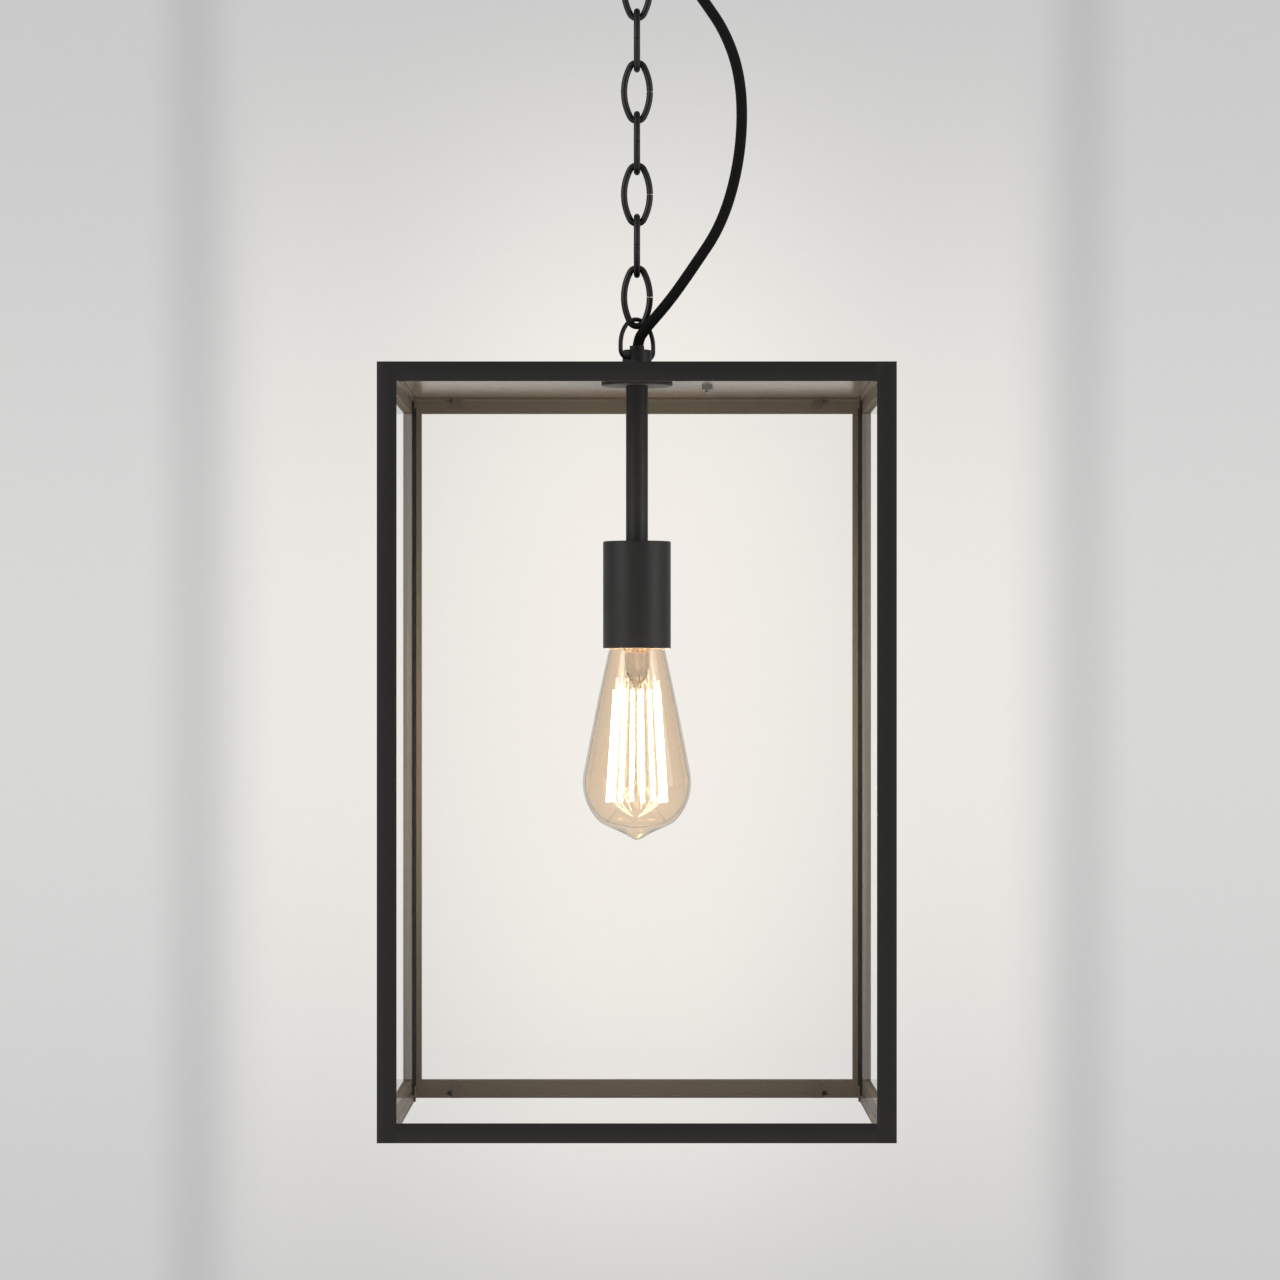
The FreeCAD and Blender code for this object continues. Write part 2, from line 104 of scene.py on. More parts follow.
def meshFrom(bm, name, smoothAngle=35):
    bmesh.ops.recalc_face_normals(bm, faces=bm.faces)
    for face in bm.faces:
        face.smooth = True
    for edge in bm.edges:
        if len(edge.link_faces) == 2 and edge.calc_face_angle() > math.radians(smoothAngle):
            edge.smooth = False
    mesh = bpy.data.meshes.new(name)
    bm.to_mesh(mesh)
    bm.free()
    return mesh


# turns (radius, z) points in metres about Z. A closed profile makes a hollow body
def lathe(name, profile, segments=96, closed=False):
    bm = bmesh.new()
    rings = []
    for r, z in profile:
        if r < 1e-6:
            rings.append([bm.verts.new((0, 0, z))])
        else:
            rings.append([bm.verts.new((r * math.cos(2 * math.pi * i / segments),
                                        r * math.sin(2 * math.pi * i / segments), z))
                          for i in range(segments)])
    pairs = list(zip(rings, rings[1:]))
    if closed:
        pairs.append((rings[-1], rings[0]))
    for a, b in pairs:
        for i in range(segments):
            k = (i + 1) % segments
            corners = [a[i % len(a)], a[k % len(a)], b[k % len(b)], b[i % len(b)]]
            unique = list(dict.fromkeys(corners))
            if len(unique) > 2:
                bm.faces.new(unique)
    return meshFrom(bm, name)


# closed (r, z) outline with each corner rounded by up to radius; corners on the axis stay
def roundedProfile(points, radius, steps=4):
    out = []
    count = len(points)
    for i in range(count):
        p = Vector(points[i])
        back = Vector(points[i - 1]) - p
        on = Vector(points[(i + 1) % count]) - p
        if p.x < 1e-6 or back.length < 1e-9 or on.length < 1e-9:
            out.append(tuple(p))
            continue
        turn = (math.pi - back.angle(on)) / 2
        reach = min(radius * math.tan(turn), 0.45 * back.length, 0.45 * on.length)
        start = p + back.normalized() * reach
        end = p + on.normalized() * reach
        for s in range(steps + 1):
            t = s / steps
            out.append(tuple(start.lerp(p, t).lerp(p.lerp(end, t), t)))
    return out


# a copy of a CAD node with its doubles merged, flat faces joined and edges over longEdges eased
def bevelledCad(node, width, material, body, longEdges, segments=2):
    bm = bmesh.new()
    bm.from_mesh(cadNodes[node].data)
    bmesh.ops.remove_doubles(bm, verts=bm.verts, dist=1e-6)
    bmesh.ops.dissolve_limit(bm, angle_limit=math.radians(1), verts=bm.verts, edges=bm.edges)
    sharp = [e for e in bm.edges if len(e.link_faces) == 2 and e.calc_face_angle() > math.radians(40)
             and e.calc_length() > longEdges]
    bmesh.ops.bevel(bm, geom=sharp, offset=width, segments=segments, profile=0.5,
                    affect="EDGES", clamp_overlap=True)
    mesh = meshFrom(bm, node + "_coated", 30)
    return addPiece(node + "_coated", mesh, material, body, node)


# gives CAD nodes that keep their own mesh a finish
def paintCad(material, *names):
    for name in names:
        data = cadNodes[name].data
        data.materials.clear()
        data.materials.append(material)


camera = {"distance": 2.630, "side": 0.0018, "height": -0.5240, "lens": 125.35, "shiftY": 0.0453}

eye = bpy.data.cameras.new("studioCamera")
eye.lens = camera["lens"]
eye.sensor_width = 36
eye.shift_y = camera["shiftY"]
eye.clip_end = 60
eyeObject = bpy.data.objects.new("studioCamera", eye)
eyeObject.location = (camera["side"], -camera["distance"], camera["height"])
eyeObject.rotation_euler = (math.pi / 2, 0, 0)
bpy.context.scene.collection.objects.link(eyeObject)
bpy.context.scene.camera = eyeObject
print("camera set")


# Noise scales below are grains per millimetre, over mm because object coordinates are metres.
def powderCoat(name, hexCode="#151515", roughness=0.52, grain=0.35, bump=0.12):
    # polyester powder coat, sprayed and baked: dull black with a fine orange-peel grain, grain mm apart
    material, tree = newMaterial(name)
    peel = addNode(tree, "ShaderNodeTexNoise", Vector=objectCoords(tree), Scale=1 / (grain * mm),
                   Detail=3.0, Roughness=0.6)
    cloud = addNode(tree, "ShaderNodeTexNoise", Vector=objectCoords(tree), Scale=0.018 / mm,
                    Detail=2.0)
    rough = addNode(tree, "ShaderNodeMapRange", Value=cloud.outputs[0], To_Min=roughness - 0.06,
                    To_Max=roughness + 0.06)
    tint = addNode(tree, "ShaderNodeMix", {"data_type": "RGBA"}, Factor=peel.outputs[0],
                   A=linearColour(hexCode), B=linearColour("#1d1c1b"))
    relief = addNode(tree, "ShaderNodeBump", Strength=bump, Distance=0.05 * mm, Height=peel.outputs[0])
    shader = addNode(tree, "ShaderNodeBsdfPrincipled", Base_Color=tint.outputs["Result"],
                     Roughness=rough.outputs[0], Normal=relief.outputs[0])
    finishMaterial(tree, shader.outputs[0])
    return material


def blackLacquer():
    # stoved satin lacquer on steel wire: smoother than the frame, browner where it is thin
    material, tree = newMaterial("satinLacquerWire")
    drawn = addNode(tree, "ShaderNodeTexNoise", Vector=objectCoords(tree), Scale=0.9 / mm, Detail=4.0)
    patches = addNode(tree, "ShaderNodeTexNoise", Vector=objectCoords(tree), Scale=0.12 / mm, Detail=2.0)
    tint = addNode(tree, "ShaderNodeMix", {"data_type": "RGBA"}, Factor=patches.outputs[0],
                   A=linearColour("#0f0e0e"), B=linearColour("#191817"))
    rough = addNode(tree, "ShaderNodeMapRange", Value=drawn.outputs[0], To_Min=0.38, To_Max=0.46)
    relief = addNode(tree, "ShaderNodeBump", Strength=0.03, Distance=0.02 * mm, Height=drawn.outputs[0])
    shader = addNode(tree, "ShaderNodeBsdfPrincipled", Base_Color=tint.outputs["Result"],
                     Roughness=rough.outputs[0], Normal=relief.outputs[0])
    finishMaterial(tree, shader.outputs[0])
    return material


def clearGlass(name, hexCode, ior, smear):
    # blown soda-lime glass: see-through, mirror-smooth, with the faint haze of handling
    material, tree = newMaterial(name)
    haze = addNode(tree, "ShaderNodeTexNoise", Vector=objectCoords(tree), Scale=0.009 / mm, Detail=5.0)
    rough = addNode(tree, "ShaderNodeMapRange", Value=haze.outputs[0], From_Min=0.45, From_Max=0.8,
                    To_Min=0.0, To_Max=smear)
    body = addNode(tree, "ShaderNodeBsdfPrincipled", Base_Color=linearColour(hexCode),
                   Roughness=rough.outputs[0], IOR=ior, Transmission_Weight=1.0)
    path = addNode(tree, "ShaderNodeLightPath")
    lets = addNode(tree, "ShaderNodeMath", {"operation": "MAXIMUM"}, i0=path.outputs["Is Shadow Ray"],
                   i1=path.outputs["Is Diffuse Ray"])
    through = addNode(tree, "ShaderNodeBsdfTransparent", Color=linearColour(hexCode))
    mix = addNode(tree, "ShaderNodeMixShader", Fac=lets.outputs[0], i1=body.outputs[0],
                  i2=through.outputs[0])
    finishMaterial(tree, mix.outputs[0])
    return material


def paneGlass():
    # low-iron float glass in 3 mm sheets: seen straight through, with a sheen on each face that grows
    # as the view grazes it, unevenly where it has been wiped
    material, tree = newMaterial("clearFloatGlass")
    view = addNode(tree, "ShaderNodeLayerWeight", Blend=0.5)
    steep = addNode(tree, "ShaderNodeMath", {"operation": "POWER"}, i0=view.outputs["Facing"], i1=4.0)
    wipe = addNode(tree, "ShaderNodeTexNoise", Vector=objectCoords(tree, (1, 1, 0.3)),
                   Scale=0.014 / mm, Detail=4.0)
    most = addNode(tree, "ShaderNodeMapRange", Value=wipe.outputs[0], From_Min=0.3, From_Max=0.7,
                   To_Min=0.07, To_Max=0.15)
    sheen = addNode(tree, "ShaderNodeMapRange", Value=steep.outputs[0], To_Min=0.015, To_Max=1.0)
    held = addNode(tree, "ShaderNodeMath", {"operation": "MINIMUM"}, i0=sheen.outputs[0], i1=most.outputs[0])
    path = addNode(tree, "ShaderNodeLightPath")
    seen = addNode(tree, "ShaderNodeMath", {"operation": "SUBTRACT", "use_clamp": True}, i0=held.outputs[0],
                   i1=path.outputs["Is Shadow Ray"])
    through = addNode(tree, "ShaderNodeBsdfTransparent", Color=linearColour("#ffffff"))
    face = addNode(tree, "ShaderNodeBsdfAnisotropic", Color=linearColour("#ffffff"), Roughness=0.02)
    mix = addNode(tree, "ShaderNodeMixShader", Fac=seen.outputs[0], i1=through.outputs[0], i2=face.outputs[0])
    finishMaterial(tree, mix.outputs[0])
    return material


def textileBraid(threadGap=0.7):
    # black rayon braid over a rubber flex: threads that cross at 45 degrees, drawn threadGap mm apart,
    # coarser than real ones, so that they show. The UV map is in millimetres
    material, tree = newMaterial("blackTextileBraid")
    coords = addNode(tree, "ShaderNodeTexCoord")
    threads = []
    for turn in (45, -45):
        place = addNode(tree, "ShaderNodeMapping", Vector=coords.outputs["UV"],
                        Rotation=(0, 0, math.radians(turn)))
        wave = addNode(tree, "ShaderNodeTexWave", {"wave_type": "BANDS", "bands_direction": "X"},
                       Vector=place.outputs[0], Scale=2 * math.pi / 20 / threadGap,
                       Distortion=0.25, Detail=1.0)
        threads.append(wave.outputs["Fac"])
    weave = addNode(tree, "ShaderNodeMath", {"operation": "MULTIPLY"}, i0=threads[0], i1=threads[1])
    tint = addNode(tree, "ShaderNodeMix", {"data_type": "RGBA"}, Factor=weave.outputs[0],
                   A=linearColour("#080808"), B=linearColour("#1a1918"))
    relief = addNode(tree, "ShaderNodeBump", Strength=0.7, Distance=0.25 * mm, Height=weave.outputs[0])
    shader = addNode(tree, "ShaderNodeBsdfPrincipled", Base_Color=tint.outputs["Result"],
                     Roughness=0.8, Normal=relief.outputs[0], Specular_IOR_Level=0.25,
                     Sheen_Weight=0.05, Sheen_Roughness=0.4)
    finishMaterial(tree, shader.outputs[0])
    return material


def plainMetal(name, hexCode, roughness):
    # turned or plated metal: fine machining lines break up the shine
    material, tree = newMaterial(name)
    lines = addNode(tree, "ShaderNodeTexNoise", Vector=objectCoords(tree, (1, 1, 8)), Scale=0.6 / mm,
                    Detail=3.0)
    rough = addNode(tree, "ShaderNodeMapRange", Value=lines.outputs[0], To_Min=roughness - 0.08,
                    To_Max=roughness + 0.1)
    relief = addNode(tree, "ShaderNodeBump", Strength=0.1, Distance=0.02 * mm, Height=lines.outputs[0])
    shader = addNode(tree, "ShaderNodeBsdfPrincipled", Base_Color=linearColour(hexCode), Metallic=1.0,
                     Roughness=rough.outputs[0], Normal=relief.outputs[0])
    finishMaterial(tree, shader.outputs[0])
    return material


def moulded(name, hexCode, otherHex, roughness, grains=0.7, bump=0.1):
    # moulded plastic or rubber: even colour with a fine tool texture
    material, tree = newMaterial(name)
    skin = addNode(tree, "ShaderNodeTexNoise", Vector=objectCoords(tree), Scale=grains / mm, Detail=3.0)
    tint = addNode(tree, "ShaderNodeMix", {"data_type": "RGBA"}, Factor=skin.outputs[0],
                   A=linearColour(hexCode), B=linearColour(otherHex))
    rough = addNode(tree, "ShaderNodeMapRange", Value=skin.outputs[0], To_Min=roughness - 0.05,
                    To_Max=roughness + 0.08)
    relief = addNode(tree, "ShaderNodeBump", Strength=bump, Distance=0.05 * mm, Height=skin.outputs[0])
    shader = addNode(tree, "ShaderNodeBsdfPrincipled", Base_Color=tint.outputs["Result"],
                     Roughness=rough.outputs[0], Normal=relief.outputs[0])
    finishMaterial(tree, shader.outputs[0])
    return material


def litFilament():
    # phosphor-coated thread, lit: burns out to white with a yellow-green edge
    material, tree = newMaterial("litFilament")
    beads = addNode(tree, "ShaderNodeTexNoise", Vector=objectCoords(tree), Scale=0.7 / mm, Detail=1.0)
    power = addNode(tree, "ShaderNodeMapRange", Value=beads.outputs[0], To_Min=30.0, To_Max=44.0)
    tint = addNode(tree, "ShaderNodeMix", {"data_type": "RGBA"}, Factor=beads.outputs[0],
                   A=linearColour("#fff3c4"), B=linearColour("#fff8e4"))
    shader = addNode(tree, "ShaderNodeEmission", Color=tint.outputs["Result"], Strength=power.outputs[0])
    finishMaterial(tree, shader.outputs[0])
    return material


frameCoat = powderCoat("mattPowderCoat")
sleeveCoat = powderCoat("satinPowderCoat", "#181818", 0.50, 0.25, 0.08)
# the frame's black powder coat, smoother, with a lighter base colour as painted light for its lamp-lit underside
litPlateCoat = powderCoat("smoothPowderCoatPaintedLit", "#262524", 0.22, 0.25, 0.04)
wireLacquer = blackLacquer()
floatGlass = paneGlass()
smokedGlass = clearGlass("amberLampGlass", "#f6eadb", 1.47, 0.01)
mountGlass = clearGlass("lampMountGlass", "#fbf5ee", 1.5, 0.05)
braid = textileBraid()
zincPlate = plainMetal("brightZincPlate", "#b9bab6", 0.34)
turnedBrass = plainMetal("turnedBrass", "#c39a4c", 0.30)
nickelCap = plainMetal("nickelWashedBrass", "#c9b78a", 0.30)
nickelWire = plainMetal("drawnNickelWire", "#b5b2aa", 0.28)
gripRubber = moulded("mouldedRubber", "#121212", "#1d1d1c", 0.62)
foamTape = moulded("closedCellFoamTape", "#171717", "#262624", 0.9, 1.5, 0.4)
phenolic = moulded("blackPhenolic", "#151413", "#221f1d", 0.35)
polyamide = moulded("whitePolyamide", "#dddbd2", "#cfccc2", 0.45)
coreBrown = moulded("pvcCoreInsulation", "#5b4a33", "#6b4f2f", 0.4)
vitrite = moulded("blackVitrite", "#0c0c0d", "#1a191b", 0.12)
threadLight = litFilament()
print("materials made")


cord = {"diameter": 6.4 * mm, "sides": 40, "step": 0.8 * mm, "plug": 1.5 * mm, "plugWidth": 0.94,
        "tail": 9 * mm, "tailWidth": 0.97, "bend": 13 * mm, "lowestBend": 9 * mm}
# control points in mm from the middle of the lantern's top face, from inside its hub to inside the canopy's
route = [
    (0.0, 0.0, 9.5),
    (0.0, 0.0, 22.6),
    (5.2, -4.8, 30.0),
    (12.8, -6.6, 38.4),
    (21.8, -6.4, 49.5),
    (33.6, -6.0, 66.5),
    (48.6, -4.6, 89.0),
    (58.0, -3.0, 117.0),
    (62.4, -1.8, 149.0),
    (60.8, -1.0, 180.0),
    (52.2, -1.6, 205.0),
    (38.6, -3.2, 224.5),
    (25.2, -5.8, 242.5),
    (15.2, -7.6, 258.0),
    (8.0, -7.8, 270.5),
    (4.2, -4.8, 280.2),
    (0.0, 0.0, 287.8),
    (0.0, 0.0, 300.5),
]


# the cord's smooth line, read from a NURBS spline with the route as its control points
def cordLine():
    data = bpy.data.curves.new("cordLine", "CURVE")
    data.dimensions = "3D"
    data.resolution_u = 14
    spline = data.splines.new("NURBS")
    spline.points.add(len(route) - 1)
    for point, (x, y, z) in zip(spline.points, route):
        point.co = (x * mm, y * mm, topZ + z * mm, 1)
    spline.order_u = 3
    spline.use_endpoint_u = True
    holder = bpy.data.objects.new("cordLine", data)
    mesh = bpy.data.meshes.new_from_object(holder)
    line = [v.co.copy() for v in mesh.vertices]
    bpy.data.objects.remove(holder)
    return line


# the line with points a step apart, and how far along each is
def evenly(line, step):
    out, far, total = [line[0]], [0.0], 0.0
    for a, b in zip(line, line[1:]):
        span = (b - a).length
        count = max(1, round(span / step))
        for i in range(1, count + 1):
            out.append(a.lerp(b, i / count))
            far.append(total + span * i / count)
        total += span
    return out, far


# a closed tube along a line, its UV in millimetres round and along. Each end has a short thinner plug
def sweep(name, line, radii, far):
    bm = bmesh.new()
    uvLayer = bm.loops.layers.uv.new("cordUV")
    sides = cord["sides"]
    rings = []
    side = None
    for i, p in enumerate(line):
        ahead = line[min(i + 1, len(line) - 1)] - line[max(i - 1, 0)]
        ahead.normalize()
        if side is None:
            side = ahead.orthogonal().normalized() if abs(ahead.z) < 0.9 else Vector((1, 0, 0))
        side = (side - ahead * side.dot(ahead)).normalized()
        up = ahead.cross(side)
        rings.append([bm.verts.new(p + radii[i] * (math.cos(2 * math.pi * k / sides) * side
                                                  + math.sin(2 * math.pi * k / sides) * up))
                      for k in range(sides)])
    roundMm = 2 * math.pi * max(radii) / mm
    for i, (a, b) in enumerate(zip(rings, rings[1:])):
        for k in range(sides):
            n = (k + 1) % sides
            face = bm.faces.new([a[k], a[n], b[n], b[k]])
            across = (k / sides * roundMm, (k + 1) / sides * roundMm)
            along = (far[i] / mm, far[i + 1] / mm)
            for loop, uv in zip(face.loops, ((across[0], along[0]), (across[1], along[0]),
                                             (across[1], along[1]), (across[0], along[1]))):
                loop[uvLayer].uv = uv
    for ring, way, p in ((rings[0], line[0] - line[1], line[0]), (rings[-1], line[-1] - line[-2], line[-1])):
        plug = bmesh.ops.extrude_edge_only(bm, edges=[e for e in bm.edges if e.is_boundary
                                                      and all(v in ring for v in e.verts)])
        verts = [g for g in plug["geom"] if isinstance(g, bmesh.types.BMVert)]
        for v in verts:
            v.co = p + (v.co - p) * cord["plugWidth"]
        bmesh.ops.translate(bm, verts=verts, vec=way.normalized() * cord["plug"])
        bm.faces.new([v for v in sorted(verts, key=lambda v: math.atan2(
            (v.co - p).dot(way.orthogonal().normalized()),
            (v.co - p).dot(way.normalized().cross(way.orthogonal().normalized()))))])
    return meshFrom(bm, name, 50)


chain = {"links": 8, "length": 38 * mm, "width": 19 * mm, "wire": 3.8 * mm, "endRadius": 4.6 * mm,
         "slit": 0.45 * mm, "sides": 32}
links = range(1, chain["links"] + 1)
linkTop = {n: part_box(f"chain_link_{n}")[1][2] - chain["wire"] / 2 for n in links}    # where links turn
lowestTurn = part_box("chain_link_1")[0][2] + chain["wire"] / 2

# Seams lie at the heights of the joints that turn about X, where the cord hardly moves sideways. Between
# links 2 and 3 the cord is two stiff lengths that run on inside one another.
cordSpans = [
    ("cord_lower", "lantern_bail", "link_1", lowestTurn, None, linkTop[1]),
    ("cord_bow_1", "link_2", None, linkTop[2], linkTop[1], linkTop[2]),
    ("cord_bow_1_top", "link_3", None, linkTop[2], linkTop[2], linkTop[3]),
    ("cord_bow_2", "link_4", "link_5", linkTop[4], linkTop[3], linkTop[5]),
    ("cord_bow_3", "link_6", "link_7", linkTop[6], linkTop[5], linkTop[7]),
    ("cord_upper", "link_8", "canopy_bail", linkTop[8], linkTop[7], None),
]
tailUp, tailDown = {"cord_bow_1"}, {"cord_bow_1_top"}
# These two are listed apart; below they are baked the same way as the others.
fromAbove = {"cord_lower", "cord_bow_2"}

wholeLine, wholeFar = evenly(cordLine(), cord["step"])
for name, lowBody, highBody, jointZ, fromZ, toZ in cordSpans:
    first = 0 if fromZ is None else min(i for i, p in enumerate(wholeLine) if p.z >= fromZ)
    last = len(wholeLine) - 1 if toZ is None else min(i for i, p in enumerate(wholeLine) if p.z >= toZ)
    fullFrom, fullTo = first, last
    if name in tailUp:
        last = min(i for i, far in enumerate(wholeFar) if far >= wholeFar[fullTo] + cord["tail"])
    if name in tailDown:
        first = max(i for i, far in enumerate(wholeFar) if far <= wholeFar[fullFrom] - cord["tail"])
    line = wholeLine[first:last + 1]
    radii = [cord["diameter"] / 2 * (1 if fullFrom <= i <= fullTo else cord["tailWidth"])
             for i in range(first, last + 1)]
    mesh = sweep(name, line, radii, wholeFar[first:last + 1])
    piece = bpy.data.objects.new(name, mesh)
    bpy.context.scene.collection.objects.link(piece)
    mesh.materials.append(braid)
    reach = cord["lowestBend"] if fromZ is None else cord["bend"]
    low, high = (0, 0, jointZ - reach), (0, 0, jointZ + reach)
    if highBody is None:
        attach(piece, lowBody)
    elif name in fromAbove:
        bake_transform(piece)
    else:
        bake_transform(piece)
    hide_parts("power_cord")
print("cord made, whole length", round(wholeFar[-1], 4))


bail = {"wire": 2.6 * mm, "halfWidth": 15.6 * mm, "height": 22.6 * mm, "bend": 4.7 * mm,
        "pin": 5.45 * mm, "hole": 13 * mm, "sides": 28, "turn": 52}


# Geometry Nodes that sweep a round wire along a curve and close its ends
def wireTree():
    tree = bpy.data.node_groups.new("roundWire", "GeometryNodeTree")
    face = tree.interface
    face.new_socket("Geometry", in_out="INPUT", socket_type="NodeSocketGeometry")
    face.new_socket("Wire radius", in_out="INPUT", socket_type="NodeSocketFloat")
    face.new_socket("Sides", in_out="INPUT", socket_type="NodeSocketInt")
    face.new_socket("Finish", in_out="INPUT", socket_type="NodeSocketMaterial")
    face.new_socket("Geometry", in_out="OUTPUT", socket_type="NodeSocketGeometry")
    given = addNode(tree, "NodeGroupInput")
    ring = addNode(tree, "GeometryNodeCurvePrimitiveCircle", {"mode": "RADIUS"},
                   Resolution=given.outputs["Sides"], Radius=given.outputs["Wire radius"])
    tube = addNode(tree, "GeometryNodeCurveToMesh", Curve=given.outputs["Geometry"],
                   Profile_Curve=ring.outputs[0], Fill_Caps=True)
    whole = addNode(tree, "GeometryNodeRealizeInstances", Geometry=tube.outputs[0])
    coated = addNode(tree, "GeometryNodeSetMaterial", Geometry=whole.outputs[0],
                     Material=given.outputs["Finish"])
    addNode(tree, "NodeGroupOutput", Geometry=coated.outputs[0])
    return tree


roundWire = wireTree()


def socketId(tree, name):
    return next(s.identifier for s in tree.interface.items_tree
                if s.name == name and s.in_out == "INPUT")


# sweeps one or more open lines into wire with the node tree and keeps the plain mesh
def wirePiece(name, lines, radius, sides, material, body, *nodes):
    data = bpy.data.curves.new(name, "CURVE")
    data.dimensions = "3D"
    for line in lines:
        spline = data.splines.new("POLY")
        spline.points.add(len(line) - 1)
        for point, p in zip(spline.points, line):
            point.co = (*p, 1)
    holder = bpy.data.objects.new(name + "_path", data)
    bpy.context.scene.collection.objects.link(holder)
    modifier = holder.modifiers.new("wire", "NODES")
    modifier.node_group = roundWire
    modifier[socketId(roundWire, "Wire radius")] = radius
    modifier[socketId(roundWire, "Sides")] = sides
    modifier[socketId(roundWire, "Finish")] = material
    depsgraph = bpy.context.evaluated_depsgraph_get()
    made = bpy.data.meshes.new_from_object(holder.evaluated_get(depsgraph))
    bpy.data.objects.remove(holder)
    bm = bmesh.new()
    bm.from_mesh(made)
    bmesh.ops.remove_doubles(bm, verts=bm.verts, dist=1e-7)
    return addPiece(name, meshFrom(bm, name, 50), material, body, *nodes)


# points of an arc in the XZ plane, without its last point
def arcPoints(centre, radius, startDegrees, endDegrees, count):
    angles = [math.radians(startDegrees + (endDegrees - startDegrees) * i / count) for i in range(count)]
    return [Vector((centre[0] + radius * math.cos(a), 0, centre[1] + radius * math.sin(a))) for a in angles]


# the link's centre line: four tangent arcs, open at the slit half way up one side
def linkLine():
    a = (chain["length"] - chain["wire"]) / 2
    b = (chain["width"] - chain["wire"]) / 2
    r = chain["endRadius"]
    sideRadius = (b * b + (a - r) ** 2 - r * r) / (2 * (b - r))
    centre = b - sideRadius
    meet = math.degrees(math.atan2(a - r, -centre))
    slit = math.degrees(chain["slit"] / 2 / sideRadius)
    points = arcPoints((centre, 0), sideRadius, slit, meet, 14)
    points += arcPoints((0, a - r), r, meet, 180 - meet, 22)
    points += arcPoints((-centre, 0), sideRadius, 180 - meet, 180 + meet, 28)
    points += arcPoints((0, r - a), r, 180 + meet, 360 - meet, 22)
    points += arcPoints((centre, 0), sideRadius, -meet, -slit, 14)
    last = math.radians(-slit)
    return points + [Vector((centre + sideRadius * math.cos(last), 0, sideRadius * math.sin(last)))]


for n in links:
    low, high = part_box(f"chain_link_{n}")
    middle = Vector((0, 0, (low[2] + high[2]) / 2))
    turn = Matrix.Rotation(math.radians(0 if n % 2 else -90), 4, "Z")
    line = [middle + turn @ p for p in linkLine()]
    wirePiece(f"link_{n}_wire", [line], chain["wire"] / 2, chain["sides"], wireLacquer,
              f"link_{n}", f"chain_link_{n}")


# a loop that starts and ends in the hub's cross holes. up is 1 above a hub and -1 below one
def bailLine(holeZ, up, turnDegrees):
    w, bend = bail["halfWidth"], bail["bend"]
    legTop = bail["height"] - w
    points = [Vector((bail["pin"], 0, 0))]
    points += arcPoints((w - bend, bend), bend, -90, 0, 12)
    points += arcPoints((0, legTop), w, 0, 90, 24)
    points.append(Vector((0, 0, legTop + w)))
    whole = points + [Vector((-p.x, 0, p.z)) for p in reversed(points[:-1])]
    turn = Matrix.Rotation(math.radians(turnDegrees), 4, "Z")
    return [Vector((0, 0, holeZ)) + turn @ Vector((p.x, 0, up * p.z)) for p in whole]


wirePiece("lantern_bail_wire", [bailLine(topZ + bail["hole"], 1, bail["turn"])], bail["wire"] / 2,
          bail["sides"], wireLacquer, "lantern_bail", "lantern_bail")
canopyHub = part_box("canopy_hub")
wirePiece("canopy_bail_wire", [bailLine(canopyHub[1][2] - bail["hole"], -1, 0)], bail["wire"] / 2,
          bail["sides"], wireLacquer, "canopy_bail", "canopy_bail")
print("chain and loops made")


bars = {"edge": 0.15 * mm, "longEdge": 60 * mm, "paneEdge": 0.5 * mm, "tabEdge": 2 * mm}

for node in cadNodes:
    if node.startswith("post_") or "_rail_" in node:
        bevelledCad(node, bars["edge"], frameCoat, "lantern", bars["longEdge"])
for node in ("glass_front", "glass_back", "glass_left", "glass_right"):
    bevelledCad(node, bars["paneEdge"], floatGlass, "lantern", 0.0, 1)
bevelledCad("glass_tabs", bars["edge"], frameCoat, "lantern", bars["tabEdge"], 1)
paintCad(litPlateCoat, "top_plate")
paintCad(foamTape, "glazing_seals")
paintCad(zincPlate, "earth_screw", "lantern_nipple", "holder_nipple", "canopy_nipple", "canopy_locknut",
         "mounting_bracket", "terminal_screws")
paintCad(turnedBrass, "lampholder_shell", "lampholder_contact", "holder_terminals")
paintCad(phenolic, "lampholder_body")
paintCad(polyamide, "terminal_block")
paintCad(coreBrown, "stem_cores", "canopy_cores")
paintCad(frameCoat, "lantern_hub", "canopy_hub")
paintCad(gripRubber, "lantern_cord_grip", "canopy_cord_grip")
print("frame made")


stem = {"tubeRadius": 6.5 * mm, "tubeBore": 5.0 * mm, "flangeRadius": 21 * mm, "sleeveRadius": 20 * mm,
        "sleeveWall": 1.0 * mm, "edge": 1.2 * mm}

tubeLow, tubeHigh = (c[2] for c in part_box("stem_tube"))
addPiece("stem_tube_turned", lathe("stem_tube_turned", roundedProfile(
    [(stem["tubeBore"], tubeLow), (stem["tubeRadius"], tubeLow), (stem["tubeRadius"], tubeHigh),
     (stem["tubeBore"], tubeHigh)], 0.3 * mm), 72, True), frameCoat, "lantern", "stem_tube")
discLow, discHigh = (c[2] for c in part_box("stem_flange"))
addPiece("stem_flange_turned", lathe("stem_flange_turned", roundedProfile(
    [(stem["tubeBore"], discLow), (stem["flangeRadius"], discLow), (stem["flangeRadius"], discHigh),
     (stem["tubeBore"], discHigh)], 0.8 * mm), 96, True), frameCoat, "lantern", "stem_flange")
sleeveLow, sleeveHigh = (c[2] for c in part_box("lampholder_sleeve"))
outer, inner = stem["sleeveRadius"], stem["sleeveRadius"] - stem["sleeveWall"]
sleeveProfile = [(5.1 * mm, sleeveHigh - 1.2 * mm), (inner, sleeveHigh - 1.2 * mm), (inner, sleeveLow),
                 (outer, sleeveLow), (outer, sleeveHigh), (5.1 * mm, sleeveHigh)]
